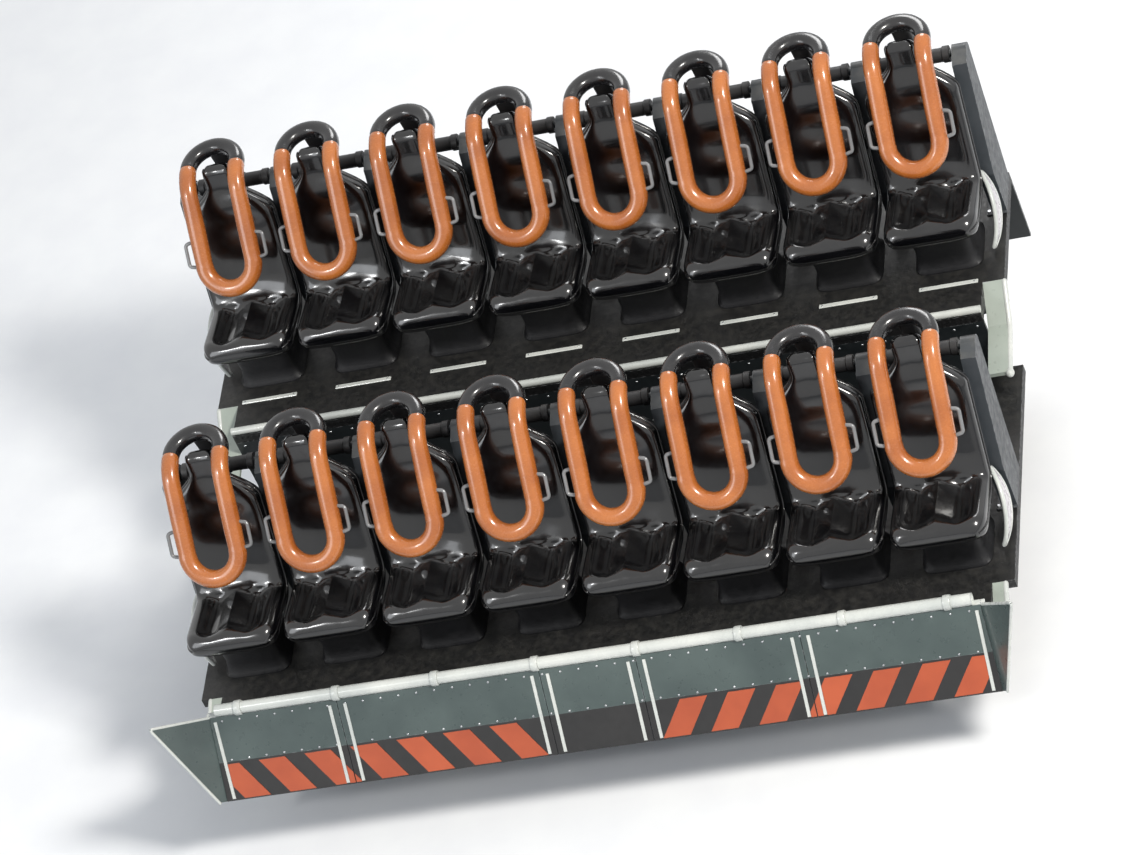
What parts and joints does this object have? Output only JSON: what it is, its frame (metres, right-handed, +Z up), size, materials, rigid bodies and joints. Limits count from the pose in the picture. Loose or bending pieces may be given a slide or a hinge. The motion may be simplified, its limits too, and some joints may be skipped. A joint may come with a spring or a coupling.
{
  "type": "vertical drop coaster car",
  "caption": "Wide vertical-drop coaster car with two stepped rows of bucket seats, orange over-the-shoulder restraints, a striped front apron and steered rail-wheel bogies",
  "frame": {"origin": "bottom centre of the bounding box, on the floor under the lowest wheels", "axes": "+X across the rows to the riders' left as they face -Y; the car travels towards -Y; +Z up"},
  "size_m": [4.8942, 3.3636, 2.4642],
  "materials": {
    "apron_panel": "dark grey green paint",
    "bogie_steel": "dark grey paint",
    "deck": "black anti-slip tread",
    "fin_steel": "worn bright by the brakes",
    "frame_steel": "black paint",
    "rail_metal": "satin",
    "restraint_pad": "orange moulded foam with a soft gloss",
    "seat_frame": "black paint",
    "seat_shell": "black moulded shell with a high gloss",
    "side_plate": "pale grey green paint",
    "stripe_black": "black paint",
    "stripe_orange": "orange paint",
    "wheel": "pale polyurethane tyre on an aluminium hub"
  },
  "bodies": {
    "car": {"chassis_frame": "frame_steel", "axles": "frame_steel", "outriggers": "frame_steel", "brake_fins": "fin_steel", "chain_dog": "bogie_steel", "deck_front": "deck", "deck_rear": "deck", "body_panels": "frame_steel", "row_rails": "frame_steel", "apron_panels": "apron_panel", "apron_stripe_panels": "stripe_black", "apron_stripes": "stripe_orange", "apron_trim": "rail_metal", "apron_brackets": "frame_steel", "side_plates": "side_plate", "seat_wings": "side_plate", "seats_front": "seat_shell", "seats_rear": "seat_shell", "seat_frame_front": "seat_frame", "seat_frame_rear": "seat_frame"},
    "bogie_front_left": {"bogie_front_left": "bogie_steel"},
    "run_wheel_lead_front_left": {"run_wheel_lead_front_left": "wheel"},
    "guide_wheel_lead_front_left": {"guide_wheel_lead_front_left": "wheel"},
    "run_wheel_trail_front_left": {"run_wheel_trail_front_left": "wheel"},
    "guide_wheel_trail_front_left": {"guide_wheel_trail_front_left": "wheel"},
    "up_wheel_front_left": {"up_wheel_front_left": "wheel"},
    "bogie_front_right": {"bogie_front_right": "bogie_steel"},
    "run_wheel_lead_front_right": {"run_wheel_lead_front_right": "wheel"},
    "guide_wheel_lead_front_right": {"guide_wheel_lead_front_right": "wheel"},
    "run_wheel_trail_front_right": {"run_wheel_trail_front_right": "wheel"},
    "guide_wheel_trail_front_right": {"guide_wheel_trail_front_right": "wheel"},
    "up_wheel_front_right": {"up_wheel_front_right": "wheel"},
    "bogie_rear_left": {"bogie_rear_left": "bogie_steel"},
    "run_wheel_lead_rear_left": {"run_wheel_lead_rear_left": "wheel"},
    "guide_wheel_lead_rear_left": {"guide_wheel_lead_rear_left": "wheel"},
    "run_wheel_trail_rear_left": {"run_wheel_trail_rear_left": "wheel"},
    "guide_wheel_trail_rear_left": {"guide_wheel_trail_rear_left": "wheel"},
    "up_wheel_rear_left": {"up_wheel_rear_left": "wheel"},
    "bogie_rear_right": {"bogie_rear_right": "bogie_steel"},
    "run_wheel_lead_rear_right": {"run_wheel_lead_rear_right": "wheel"},
    "guide_wheel_lead_rear_right": {"guide_wheel_lead_rear_right": "wheel"},
    "run_wheel_trail_rear_right": {"run_wheel_trail_rear_right": "wheel"},
    "guide_wheel_trail_rear_right": {"guide_wheel_trail_rear_right": "wheel"},
    "up_wheel_rear_right": {"up_wheel_rear_right": "wheel"},
    "restraint_front_1": {"restraint_front_1": "restraint_pad"},
    "restraint_front_2": {"restraint_front_2": "restraint_pad"},
    "restraint_front_3": {"restraint_front_3": "restraint_pad"},
    "restraint_front_4": {"restraint_front_4": "restraint_pad"},
    "restraint_front_5": {"restraint_front_5": "restraint_pad"},
    "restraint_front_6": {"restraint_front_6": "restraint_pad"},
    "restraint_front_7": {"restraint_front_7": "restraint_pad"},
    "restraint_front_8": {"restraint_front_8": "restraint_pad"},
    "restraint_rear_1": {"restraint_rear_1": "restraint_pad"},
    "restraint_rear_2": {"restraint_rear_2": "restraint_pad"},
    "restraint_rear_3": {"restraint_rear_3": "restraint_pad"},
    "restraint_rear_4": {"restraint_rear_4": "restraint_pad"},
    "restraint_rear_5": {"restraint_rear_5": "restraint_pad"},
    "restraint_rear_6": {"restraint_rear_6": "restraint_pad"},
    "restraint_rear_7": {"restraint_rear_7": "restraint_pad"},
    "restraint_rear_8": {"restraint_rear_8": "restraint_pad"}
  },
  "joints": [
    {"name": "steer_front_left", "type": "hinge", "parent": "car", "child": "bogie_front_left", "pos_m": [-0.82, -0.89966, 0.455], "axis": [0, 0, 1], "range_deg": [-5, 5]},
    {"name": "spin_run_wheel_lead_front_left", "type": "hinge", "parent": "bogie_front_left", "child": "run_wheel_lead_front_left", "pos_m": [-0.95, -1.10966, 0.513], "axis": [1, 0, 0], "continuous": true},
    {"name": "spin_guide_wheel_lead_front_left", "type": "hinge", "parent": "bogie_front_left", "child": "guide_wheel_lead_front_left", "pos_m": [-1.158, -1.08966, 0.268], "axis": [0, 0, 1], "continuous": true},
    {"name": "spin_run_wheel_trail_front_left", "type": "hinge", "parent": "bogie_front_left", "child": "run_wheel_trail_front_left", "pos_m": [-0.95, -0.68966, 0.513], "axis": [1, 0, 0], "continuous": true},
    {"name": "spin_guide_wheel_trail_front_left", "type": "hinge", "parent": "bogie_front_left", "child": "guide_wheel_trail_front_left", "pos_m": [-1.158, -0.70966, 0.268], "axis": [0, 0, 1], "continuous": true},
    {"name": "spin_up_wheel_front_left", "type": "hinge", "parent": "bogie_front_left", "child": "up_wheel_front_left", "pos_m": [-0.95, -0.89966, 0.09], "axis": [1, 0, 0], "continuous": true},
    {"name": "steer_front_right", "type": "hinge", "parent": "car", "child": "bogie_front_right", "pos_m": [0.82, -0.89966, 0.455], "axis": [0, 0, 1], "range_deg": [-5, 5]},
    {"name": "spin_run_wheel_lead_front_right", "type": "hinge", "parent": "bogie_front_right", "child": "run_wheel_lead_front_right", "pos_m": [0.95, -1.10966, 0.513], "axis": [1, 0, 0], "continuous": true},
    {"name": "spin_guide_wheel_lead_front_right", "type": "hinge", "parent": "bogie_front_right", "child": "guide_wheel_lead_front_right", "pos_m": [1.158, -1.08966, 0.268], "axis": [0, 0, 1], "continuous": true},
    {"name": "spin_run_wheel_trail_front_right", "type": "hinge", "parent": "bogie_front_right", "child": "run_wheel_trail_front_right", "pos_m": [0.95, -0.68966, 0.513], "axis": [1, 0, 0], "continuous": true},
    {"name": "spin_guide_wheel_trail_front_right", "type": "hinge", "parent": "bogie_front_right", "child": "guide_wheel_trail_front_right", "pos_m": [1.158, -0.70966, 0.268], "axis": [0, 0, 1], "continuous": true},
    {"name": "spin_up_wheel_front_right", "type": "hinge", "parent": "bogie_front_right", "child": "up_wheel_front_right", "pos_m": [0.95, -0.89966, 0.09], "axis": [1, 0, 0], "continuous": true},
    {"name": "steer_rear_left", "type": "hinge", "parent": "car", "child": "bogie_rear_left", "pos_m": [-0.82, 1.05034, 0.455], "axis": [0, 0, 1], "range_deg": [-5, 5]},
    {"name": "spin_run_wheel_lead_rear_left", "type": "hinge", "parent": "bogie_rear_left", "child": "run_wheel_lead_rear_left", "pos_m": [-0.95, 0.84034, 0.513], "axis": [1, 0, 0], "continuous": true},
    {"name": "spin_guide_wheel_lead_rear_left", "type": "hinge", "parent": "bogie_rear_left", "child": "guide_wheel_lead_rear_left", "pos_m": [-1.158, 0.86034, 0.268], "axis": [0, 0, 1], "continuous": true},
    {"name": "spin_run_wheel_trail_rear_left", "type": "hinge", "parent": "bogie_rear_left", "child": "run_wheel_trail_rear_left", "pos_m": [-0.95, 1.26034, 0.513], "axis": [1, 0, 0], "continuous": true},
    {"name": "spin_guide_wheel_trail_rear_left", "type": "hinge", "parent": "bogie_rear_left", "child": "guide_wheel_trail_rear_left", "pos_m": [-1.158, 1.24034, 0.268], "axis": [0, 0, 1], "continuous": true},
    {"name": "spin_up_wheel_rear_left", "type": "hinge", "parent": "bogie_rear_left", "child": "up_wheel_rear_left", "pos_m": [-0.95, 1.05034, 0.09], "axis": [1, 0, 0], "continuous": true},
    {"name": "steer_rear_right", "type": "hinge", "parent": "car", "child": "bogie_rear_right", "pos_m": [0.82, 1.05034, 0.455], "axis": [0, 0, 1], "range_deg": [-5, 5]},
    {"name": "spin_run_wheel_lead_rear_right", "type": "hinge", "parent": "bogie_rear_right", "child": "run_wheel_lead_rear_right", "pos_m": [0.95, 0.84034, 0.513], "axis": [1, 0, 0], "continuous": true},
    {"name": "spin_guide_wheel_lead_rear_right", "type": "hinge", "parent": "bogie_rear_right", "child": "guide_wheel_lead_rear_right", "pos_m": [1.158, 0.86034, 0.268], "axis": [0, 0, 1], "continuous": true},
    {"name": "spin_run_wheel_trail_rear_right", "type": "hinge", "parent": "bogie_rear_right", "child": "run_wheel_trail_rear_right", "pos_m": [0.95, 1.26034, 0.513], "axis": [1, 0, 0], "continuous": true},
    {"name": "spin_guide_wheel_trail_rear_right", "type": "hinge", "parent": "bogie_rear_right", "child": "guide_wheel_trail_rear_right", "pos_m": [1.158, 1.24034, 0.268], "axis": [0, 0, 1], "continuous": true},
    {"name": "spin_up_wheel_rear_right", "type": "hinge", "parent": "bogie_rear_right", "child": "up_wheel_rear_right", "pos_m": [0.95, 1.05034, 0.09], "axis": [1, 0, 0], "continuous": true},
    {"name": "open_restraint_front_1", "type": "hinge", "parent": "car", "child": "restraint_front_1", "pos_m": [-2.03, -0.22744, 1.66024], "axis": [-1, 0, 0], "range_deg": [0, 80]},
    {"name": "open_restraint_front_2", "type": "hinge", "parent": "car", "child": "restraint_front_2", "pos_m": [-1.45, -0.22744, 1.66024], "axis": [-1, 0, 0], "range_deg": [0, 80]},
    {"name": "open_restraint_front_3", "type": "hinge", "parent": "car", "child": "restraint_front_3", "pos_m": [-0.87, -0.22744, 1.66024], "axis": [-1, 0, 0], "range_deg": [0, 80]},
    {"name": "open_restraint_front_4", "type": "hinge", "parent": "car", "child": "restraint_front_4", "pos_m": [-0.29, -0.22744, 1.66024], "axis": [-1, 0, 0], "range_deg": [0, 80]},
    {"name": "open_restraint_front_5", "type": "hinge", "parent": "car", "child": "restraint_front_5", "pos_m": [0.29, -0.22744, 1.66024], "axis": [-1, 0, 0], "range_deg": [0, 80]},
    {"name": "open_restraint_front_6", "type": "hinge", "parent": "car", "child": "restraint_front_6", "pos_m": [0.87, -0.22744, 1.66024], "axis": [-1, 0, 0], "range_deg": [0, 80]},
    {"name": "open_restraint_front_7", "type": "hinge", "parent": "car", "child": "restraint_front_7", "pos_m": [1.45, -0.22744, 1.66024], "axis": [-1, 0, 0], "range_deg": [0, 80]},
    {"name": "open_restraint_front_8", "type": "hinge", "parent": "car", "child": "restraint_front_8", "pos_m": [2.03, -0.22744, 1.66024], "axis": [-1, 0, 0], "range_deg": [0, 80]},
    {"name": "open_restraint_rear_1", "type": "hinge", "parent": "car", "child": "restraint_rear_1", "pos_m": [-2.03, 1.62256, 2.10024], "axis": [-1, 0, 0], "range_deg": [0, 80]},
    {"name": "open_restraint_rear_2", "type": "hinge", "parent": "car", "child": "restraint_rear_2", "pos_m": [-1.45, 1.62256, 2.10024], "axis": [-1, 0, 0], "range_deg": [0, 80]},
    {"name": "open_restraint_rear_3", "type": "hinge", "parent": "car", "child": "restraint_rear_3", "pos_m": [-0.87, 1.62256, 2.10024], "axis": [-1, 0, 0], "range_deg": [0, 80]},
    {"name": "open_restraint_rear_4", "type": "hinge", "parent": "car", "child": "restraint_rear_4", "pos_m": [-0.29, 1.62256, 2.10024], "axis": [-1, 0, 0], "range_deg": [0, 80]},
    {"name": "open_restraint_rear_5", "type": "hinge", "parent": "car", "child": "restraint_rear_5", "pos_m": [0.29, 1.62256, 2.10024], "axis": [-1, 0, 0], "range_deg": [0, 80]},
    {"name": "open_restraint_rear_6", "type": "hinge", "parent": "car", "child": "restraint_rear_6", "pos_m": [0.87, 1.62256, 2.10024], "axis": [-1, 0, 0], "range_deg": [0, 80]},
    {"name": "open_restraint_rear_7", "type": "hinge", "parent": "car", "child": "restraint_rear_7", "pos_m": [1.45, 1.62256, 2.10024], "axis": [-1, 0, 0], "range_deg": [0, 80]},
    {"name": "open_restraint_rear_8", "type": "hinge", "parent": "car", "child": "restraint_rear_8", "pos_m": [2.03, 1.62256, 2.10024], "axis": [-1, 0, 0], "range_deg": [0, 80]}
  ]
}
